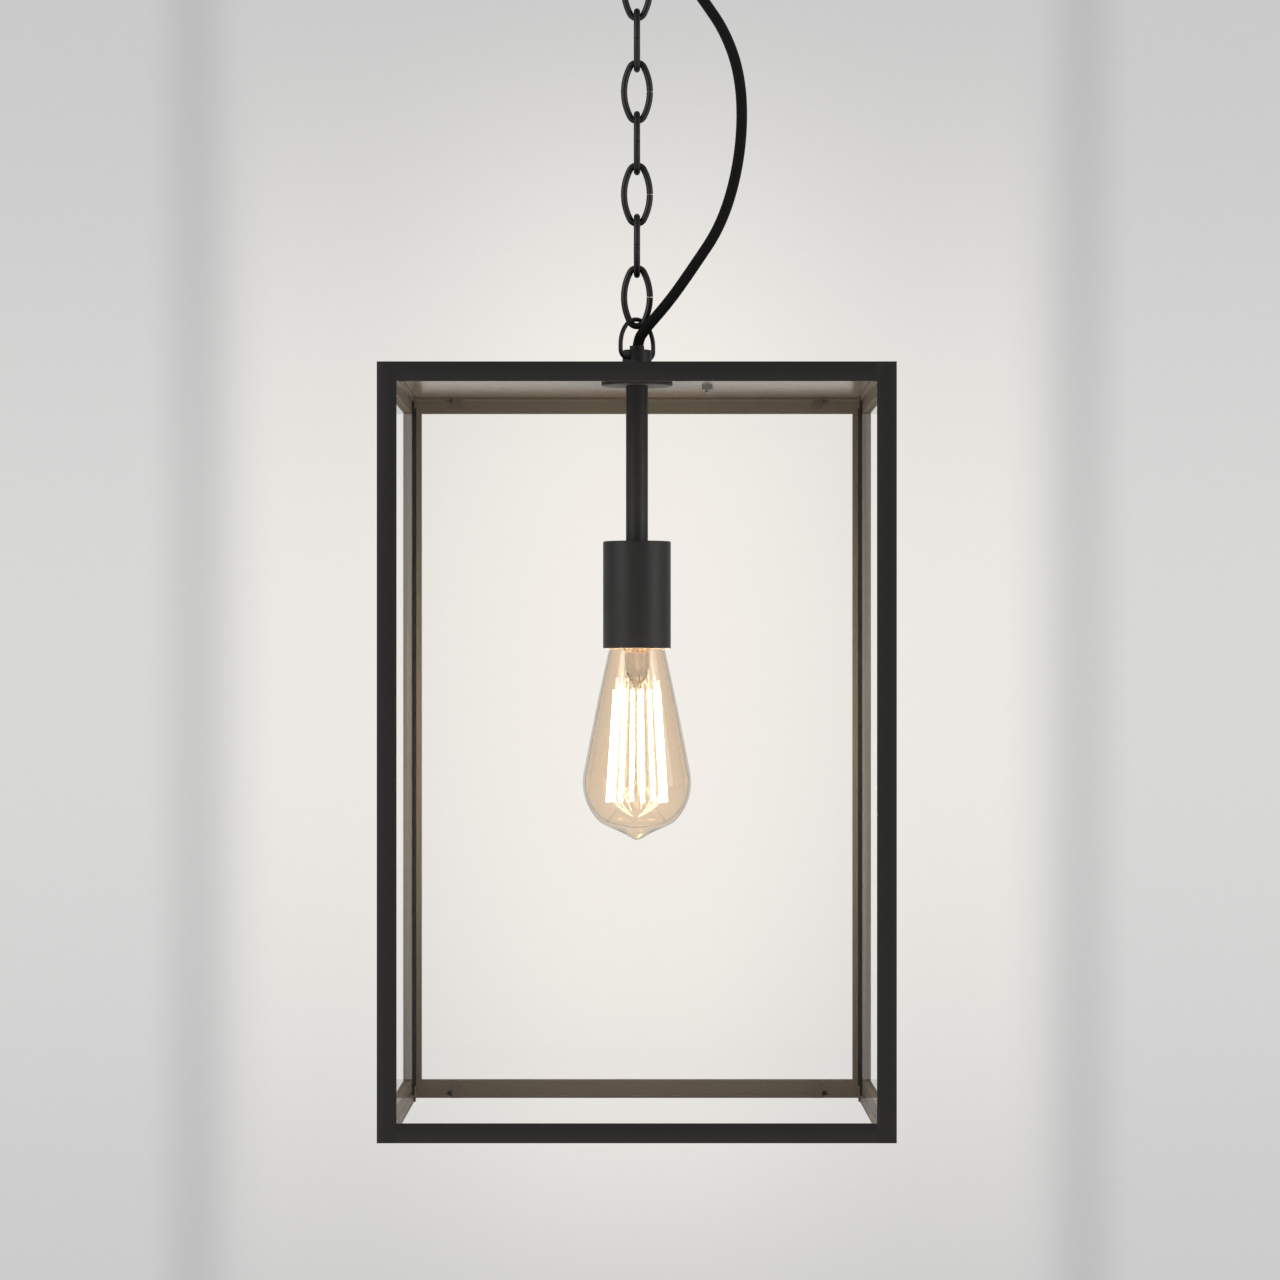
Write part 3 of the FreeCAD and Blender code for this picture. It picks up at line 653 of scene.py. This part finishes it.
addPiece("lampholder_sleeve_turned", lathe("lampholder_sleeve_turned", roundedProfile(
    sleeveProfile, 0.45 * mm), 128, True), sleeveCoat, "lantern", "lampholder_sleeve")
print("stem made")


lamp = {"radius": 32 * mm, "centre": -237.6 * mm, "neckRadius": 16.8 * mm, "neck": -160.2 * mm,
        "skirt": -154.6 * mm, "throat": 12.0 * mm, "wall": 0.8 * mm, "tip": -271.5 * mm,
        "threads": 8, "threadRadius": 1.2 * mm, "threadTop": -183 * mm, "threadLow": -249 * mm,
        "topRadius": 13.0 * mm, "lowRadius": 17.4 * mm, "turn": 0.25, "watts": 50.0, "glowHex": "#fff7ec"}


# the teardrop from its lip to its drawn tip, as (radius, z) from the lantern's top face
def glassProfile(shrink):
    radius = lamp["radius"] - shrink
    neck = Vector((lamp["neckRadius"] - shrink, lamp["neck"]))
    centre = Vector((0, lamp["centre"]))
    toNeck = neck - centre
    touch = math.atan2(toNeck.y, toNeck.x) - math.acos(radius / toNeck.length)
    points = [(lamp["throat"] - shrink, lamp["skirt"] + 1.2 * mm), (lamp["throat"] - shrink, lamp["skirt"])]
    shoulder = [Vector((lamp["throat"] - shrink, lamp["skirt"])),
                Vector((lamp["neckRadius"] - 0.6 * mm - shrink, lamp["skirt"] - 1.2 * mm)), neck]
    for i in range(1, 8):
        t = i / 8
        points.append(tuple(shoulder[0].lerp(shoulder[1], t).lerp(shoulder[1].lerp(shoulder[2], t), t)))
    touchPoint = centre + Vector((math.cos(touch), math.sin(touch))) * radius
    for i in range(12):
        t = i / 12
        swell = math.sin(math.pi * t) * 0.35 * mm
        p = neck.lerp(touchPoint, t)
        points.append((p.x + swell, p.y))
    lowest = math.radians(-48)
    for i in range(25):
        angle = touch + (lowest - touch) * i / 24
        p = centre + Vector((math.cos(angle), math.sin(angle))) * radius
        points.append(tuple(p))
    # the flattened bottom runs concave into the drawn tip
    start = Vector(points[-1])
    tip = lamp["tip"] + shrink
    curve = [start, Vector((13.5 * mm, tip + 5.6 * mm)), Vector((8.6 * mm, tip + 5.2 * mm)),
             Vector((6.2 * mm - shrink, tip + 3.4 * mm)), Vector((4.4 * mm - shrink, tip + 0.6 * mm)),
             Vector((0, tip))]
    for i in range(1, 25):
        t = i / 24
        level = list(curve)
        while len(level) > 1:
            level = [a.lerp(b, t) for a, b in zip(level, level[1:])]
        points.append((max(0.0, level[0].x), level[0].y))
    points[-1] = (0.0, tip)
    return points


def lampGlass():
    outside = [(r, topZ + z) for r, z in glassProfile(0)]
    inside = [(r, topZ + z) for r, z in glassProfile(lamp["wall"])]
    segments = 128
    bm = bmesh.new()
    bm.from_mesh(lathe("shell", outside, segments))
    outerFaces = list(bm.faces)
    bm.from_mesh(lathe("shell", inside, segments))
    for face in bm.faces:
        if face not in outerFaces:
            face.normal_flip()
    rims = [e for e in bm.edges if e.is_boundary]
    bmesh.ops.bridge_loops(bm, edges=rims)
    return meshFrom(bm, "lamp_glass_blown", 60)


addPiece("lamp_glass_blown", lampGlass(), smokedGlass, "lamp", "lamp_glass")

foot = lamp["skirt"] - 2 * mm
mountProfile = [(0, foot), (8.6 * mm, foot), (7.6 * mm, foot - 4 * mm), (6.9 * mm, foot - 14 * mm),
                (5.2 * mm, foot - 19 * mm), (3.4 * mm, foot - 22 * mm), (2.2 * mm, foot - 25 * mm),
                (2.0 * mm, lamp["threadLow"] + 14 * mm), (3.0 * mm, lamp["threadLow"] + 12.4 * mm),
                (3.0 * mm, lamp["threadLow"] + 10 * mm), (0, lamp["threadLow"] + 9 * mm)]
addPiece("lamp_mount_pressed", lathe("lamp_mount_pressed", roundedProfile(
    [(r, topZ + z) for r, z in mountProfile], 1.2 * mm), 48, True), mountGlass, "lamp", "lamp_stem")


# Geometry Nodes that turn one lit thread round the lamp's axis as often as asked
def filamentTree():
    tree = bpy.data.node_groups.new("filamentCage", "GeometryNodeTree")
    face = tree.interface
    for label, kind in (("Threads", "Int"), ("Thread radius", "Float"), ("Top", "Vector"),
                        ("Bottom", "Vector"), ("Finish", "Material")):
        face.new_socket(label, in_out="INPUT", socket_type="NodeSocket" + kind)
    face.new_socket("Geometry", in_out="OUTPUT", socket_type="NodeSocketGeometry")
    given = addNode(tree, "NodeGroupInput")
    line = addNode(tree, "GeometryNodeCurvePrimitiveLine", Start=given.outputs["Top"],
                   End=given.outputs["Bottom"])
    finer = addNode(tree, "GeometryNodeResampleCurve", {"mode": "COUNT"}, Curve=line.outputs[0], Count=24)
    ring = addNode(tree, "GeometryNodeCurvePrimitiveCircle", {"mode": "RADIUS"}, Resolution=14,
                   Radius=given.outputs["Thread radius"])
    thread = addNode(tree, "GeometryNodeCurveToMesh", Curve=finer.outputs[0], Profile_Curve=ring.outputs[0],
                     Fill_Caps=True)
    spots = addNode(tree, "GeometryNodeMeshLine", Count=given.outputs["Threads"], Offset=(0, 0, 0))
    index = addNode(tree, "GeometryNodeInputIndex")
    step = addNode(tree, "ShaderNodeMath", {"operation": "DIVIDE"}, i0=2 * math.pi,
                   i1=given.outputs["Threads"])
    half = addNode(tree, "ShaderNodeMath", {"operation": "ADD"}, i0=index.outputs[0], i1=lamp["turn"])
    angle = addNode(tree, "ShaderNodeMath", {"operation": "MULTIPLY"}, i0=half.outputs[0],
                    i1=step.outputs[0])
    turn = addNode(tree, "ShaderNodeCombineXYZ", Z=angle.outputs[0])
    cage = addNode(tree, "GeometryNodeInstanceOnPoints", Points=spots.outputs[0],
                   Instance=thread.outputs[0], Rotation=turn.outputs[0])
    whole = addNode(tree, "GeometryNodeRealizeInstances", Geometry=cage.outputs[0])
    coated = addNode(tree, "GeometryNodeSetMaterial", Geometry=whole.outputs[0],
                     Material=given.outputs["Finish"])
    addNode(tree, "NodeGroupOutput", Geometry=coated.outputs[0])
    return tree


def filamentCage():
    tree = filamentTree()
    holder = bpy.data.objects.new("cageHolder", bpy.data.meshes.new("cageHolder"))
    bpy.context.scene.collection.objects.link(holder)
    modifier = holder.modifiers.new("cage", "NODES")
    modifier.node_group = tree
    modifier[socketId(tree, "Threads")] = lamp["threads"]
    modifier[socketId(tree, "Thread radius")] = lamp["threadRadius"]
    modifier[socketId(tree, "Top")] = (lamp["topRadius"], 0, topZ + lamp["threadTop"])
    modifier[socketId(tree, "Bottom")] = (lamp["lowRadius"], 0, topZ + lamp["threadLow"])
    modifier[socketId(tree, "Finish")] = threadLight
    depsgraph = bpy.context.evaluated_depsgraph_get()
    mesh = bpy.data.meshes.new_from_object(holder.evaluated_get(depsgraph))
    bpy.data.objects.remove(holder)
    return mesh


addPiece("filament_cage", filamentCage(), threadLight, "lamp", "lamp_filaments")

glow = bpy.data.lights.new("lampGlow", "POINT")
glow.energy = lamp["watts"]
glow.shadow_soft_size = 20 * mm
glow.color = linearColour(lamp["glowHex"])[:3]
glowObject = bpy.data.objects.new("lampGlow", glow)
glowObject.location = (0, 0, topZ + (lamp["threadTop"] + lamp["threadLow"]) / 2)
glowObject.visible_transmission = False
glowObject.visible_glossy = False
bpy.context.scene.collection.objects.link(glowObject)


# bent wires from the glass mount out to both ends of each thread
def supportLines():
    lines = []
    for i in range(lamp["threads"]):
        angle = 2 * math.pi * (i + lamp["turn"]) / lamp["threads"]
        way = Vector((math.cos(angle), math.sin(angle), 0))
        top, low = lamp["threadTop"], lamp["threadLow"]
        for inner, outer, ends in ((5.2 * mm, lamp["topRadius"], (top + 9 * mm, top + 4 * mm, top + 0.4 * mm)),
                                   (2.6 * mm, lamp["lowRadius"], (low + 11 * mm, low + 2 * mm, low - 0.4 * mm))):
            a = way * inner + Vector((0, 0, topZ + ends[0]))
            b = way * (outer * 0.72) + Vector((0, 0, topZ + ends[1]))
            c = way * outer + Vector((0, 0, topZ + ends[2]))
            lines.append([a.lerp(b, t / 8).lerp(b.lerp(c, t / 8), t / 8) for t in range(9)])
    return lines


wirePiece("lamp_wires_bent", supportLines(), 0.28 * mm, 10, nickelWire, "lamp", "lamp_support_wires")
paintCad(nickelCap, "lamp_cap_shell", "lamp_cap_contact")
paintCad(vitrite, "lamp_cap_insulator")
print("lamp made")


canopy = {"radius": 55 * mm, "height": 26 * mm, "wall": 1.0 * mm, "rim": 5 * mm, "hole": 5.1 * mm,
          "edge": 0.3 * mm}

# the cup's section: up its outside from the hole in its floor, then down its inside
def cupProfile():
    radius, floor, wall, rim = canopy["radius"], -canopy["height"], canopy["wall"], canopy["rim"]
    corner = radius - rim
    angles = [math.radians(15 * i) for i in range(1, 7)]
    points = [(canopy["hole"], floor), (corner, floor)]
    points += [(corner + rim * math.sin(a), floor + rim * (1 - math.cos(a))) for a in angles]
    points += [(radius, -canopy["edge"]), (radius - canopy["edge"], 0), (radius - wall, 0),
               (radius - wall, floor + rim)]
    points += [(corner + (rim - wall) * math.cos(a), floor + rim - (rim - wall) * math.sin(a))
               for a in angles]
    return points + [(canopy["hole"], floor + wall)]


addPiece("canopy_cup_spun", lathe("canopy_cup_spun", cupProfile(), 128, True), frameCoat,
         "ceiling", "canopy_cup")
print("canopy made")


# painted light and shade on the backdrop: its unlit and washed plaster, the lit zone, the warm glow and the
# bands of painted shadow
studio = {"wall": 4.6, "wallWidth": 14.0, "floor": -1.9, "plasterUnlitHex": "#cacaca", "plasterWashedHex": "#d8d8d7",
          "litZoneHex": "#ece8e3", "wallGlowHex": "#f7f3ec", "litZone": 0.70, "shadowBandX": 0.722, "shadowBandWidth": 0.085,
          "middle": -0.50, "below": -6.0, "above": 5.0, "floorHex": ("#dedcd9", "#e4e2df"),
          "floorGlow": 0.42, "worldHex": "#dddcda", "world": 0.30, "worldSeen": 0.95}


def paleWall():
    # matt painted plaster, drawn as emission: a painted pool of light with a warmer painted glow at its centre,
    # between two soft bands of painted shadow
    material, tree = newMaterial("paleBackdrop")
    coords = addNode(tree, "ShaderNodeTexCoord")
    place = addNode(tree, "ShaderNodeSeparateXYZ", Vector=coords.outputs["Object"])
    smooth = {"interpolation_type": "SMOOTHSTEP"}
    aside = addNode(tree, "ShaderNodeMath", {"operation": "ABSOLUTE"}, i0=place.outputs["X"])
    above = addNode(tree, "ShaderNodeMath", {"operation": "SUBTRACT"}, i0=place.outputs["Z"],
                    i1=studio["middle"])
    # painted light: brightest at middle height, dimmer above and below
    upDown = addNode(tree, "ShaderNodeMath", {"operation": "ABSOLUTE"}, i0=above.outputs[0])
    wash = addNode(tree, "ShaderNodeMapRange", smooth, Value=upDown.outputs[0], From_Min=1.22, From_Max=0.05)
    plaster = addNode(tree, "ShaderNodeMix", {"data_type": "RGBA"}, Factor=wash.outputs[0],
                      A=linearColour(studio["plasterUnlitHex"]), B=linearColour(studio["plasterWashedHex"]))
    # painted light: a brighter zone across the middle, fading to the sides
    litZone = addNode(tree, "ShaderNodeMapRange", smooth, Value=aside.outputs[0], From_Min=studio["litZone"],
                    From_Max=studio["litZone"] - 0.12)
    washed = addNode(tree, "ShaderNodeMath", {"operation": "MULTIPLY"}, i0=litZone.outputs[0],
                     i1=wash.outputs[0])
    lit = addNode(tree, "ShaderNodeMix", {"data_type": "RGBA"}, Factor=washed.outputs[0],
                  A=plaster.outputs["Result"], B=linearColour(studio["litZoneHex"]))
    # painted light: a warmer glow at the centre of the lit zone
    wallGlow = addNode(tree, "ShaderNodeMapRange", smooth, Value=aside.outputs[0], From_Min=0.48, From_Max=0.05)
    warmGlowMask = addNode(tree, "ShaderNodeMath", {"operation": "MULTIPLY"}, i0=wallGlow.outputs[0], i1=wash.outputs[0])
    tint = addNode(tree, "ShaderNodeMix", {"data_type": "RGBA"}, Factor=warmGlowMask.outputs[0],
                   A=lit.outputs["Result"], B=linearColour(studio["wallGlowHex"]))
    # painted shadow: two soft darker vertical bands, one to either side
    fromShadowBand = addNode(tree, "ShaderNodeMath", {"operation": "SUBTRACT"}, i0=aside.outputs[0],
                       i1=studio["shadowBandX"])
    nearShadowBand = addNode(tree, "ShaderNodeMath", {"operation": "ABSOLUTE"}, i0=fromShadowBand.outputs[0])
    shade = addNode(tree, "ShaderNodeMapRange", smooth, Value=nearShadowBand.outputs[0],
                    From_Max=studio["shadowBandWidth"], To_Min=0.86, To_Max=1.0)
    grain = addNode(tree, "ShaderNodeTexNoise", Vector=coords.outputs["Object"], Scale=0.06 / mm,
                    Detail=4.0)
    mottle = addNode(tree, "ShaderNodeMapRange", Value=grain.outputs[0], To_Min=0.985, To_Max=1.015)
    power = addNode(tree, "ShaderNodeMath", {"operation": "MULTIPLY"}, i0=shade.outputs[0],
                    i1=mottle.outputs[0])
    glow = addNode(tree, "ShaderNodeEmission", Color=tint.outputs["Result"], Strength=power.outputs[0])
    finishMaterial(tree, glow.outputs[0])
    return material


def plane(name, corners, material):
    mesh = bpy.data.meshes.new(name)
    mesh.from_pydata(corners, [], [(0, 1, 2, 3)])
    mesh.materials.append(material)
    item = bpy.data.objects.new(name, mesh)
    bpy.context.scene.collection.objects.link(item)
    return item


def paleFloor():
    # pale screed, matt and faintly speckled, lifted by light from the room
    dark, light = studio["floorHex"]
    material, tree = newMaterial("paleFloor")
    speckle = addNode(tree, "ShaderNodeTexNoise", Vector=objectCoords(tree), Scale=0.04 / mm)
    tint = addNode(tree, "ShaderNodeMix", {"data_type": "RGBA"}, Factor=speckle.outputs[0],
                   A=linearColour(dark), B=linearColour(light))
    shader = addNode(tree, "ShaderNodeBsdfPrincipled", Base_Color=tint.outputs["Result"], Roughness=0.8,
                     Emission_Color=linearColour(light), Emission_Strength=studio["floorGlow"])
    finishMaterial(tree, shader.outputs[0])
    return material


half, wallY, floorZ = studio["wallWidth"] / 2, studio["wall"], studio["floor"]
plane("backdrop", [(-half, wallY, studio["below"]), (half, wallY, studio["below"]),
                   (half, wallY, studio["above"]), (-half, wallY, studio["above"])], paleWall())
plane("floor", [(-half, -half, floorZ), (half, -half, floorZ), (half, wallY, floorZ),
                (-half, wallY, floorZ)], paleFloor())


def softbox(name, place, aim, size, watts):
    light = bpy.data.lights.new(name, "AREA")
    light.shape = "RECTANGLE"
    light.size, light.size_y = size
    light.energy = watts
    item = bpy.data.objects.new(name, light)
    item.location = place
    item.rotation_euler = (Vector(aim) - Vector(place)).to_track_quat("-Z", "Y").to_euler()
    bpy.context.scene.collection.objects.link(item)


# name, place, height of the point aimed at, width and height, watts
softboxes = [
    ("keyLeft", (-2.6, -1.8, 0.9), -0.4, (1.6, 2.2), 34),
    ("fillRight", (2.8, -1.2, 0.2), -0.5, (1.8, 2.4), 20),
    ("stripLeft", (-1.9, -1.5, -0.4), -0.55, (0.12, 1.7), 5),
    ("stripRight", (2.0, -1.1, -0.4), -0.55, (0.12, 1.7), 5),
]
for name, place, aimZ, size, watts in softboxes:
    softbox(name, place, (0, 0, aimZ), size, watts)

# the room is pale to look at, and dimmer to reflect, as it is beyond the lit set
world = bpy.data.worlds.new("studioWorld")
bpy.context.scene.world = world
world.use_nodes = True
air = world.node_tree
sight = addNode(air, "ShaderNodeLightPath")
direct = addNode(air, "ShaderNodeMath", {"operation": "MAXIMUM"}, i0=sight.outputs["Is Camera Ray"],
                 i1=sight.outputs["Is Transmission Ray"])
bright = addNode(air, "ShaderNodeMapRange", Value=direct.outputs[0], To_Min=studio["world"],
                 To_Max=studio["worldSeen"])
air.nodes["Background"].inputs[0].default_value = linearColour(studio["worldHex"])
air.links.new(bright.outputs[0], air.nodes["Background"].inputs[1])
bpy.context.scene.view_settings.view_transform = "Standard"
print("studio made")
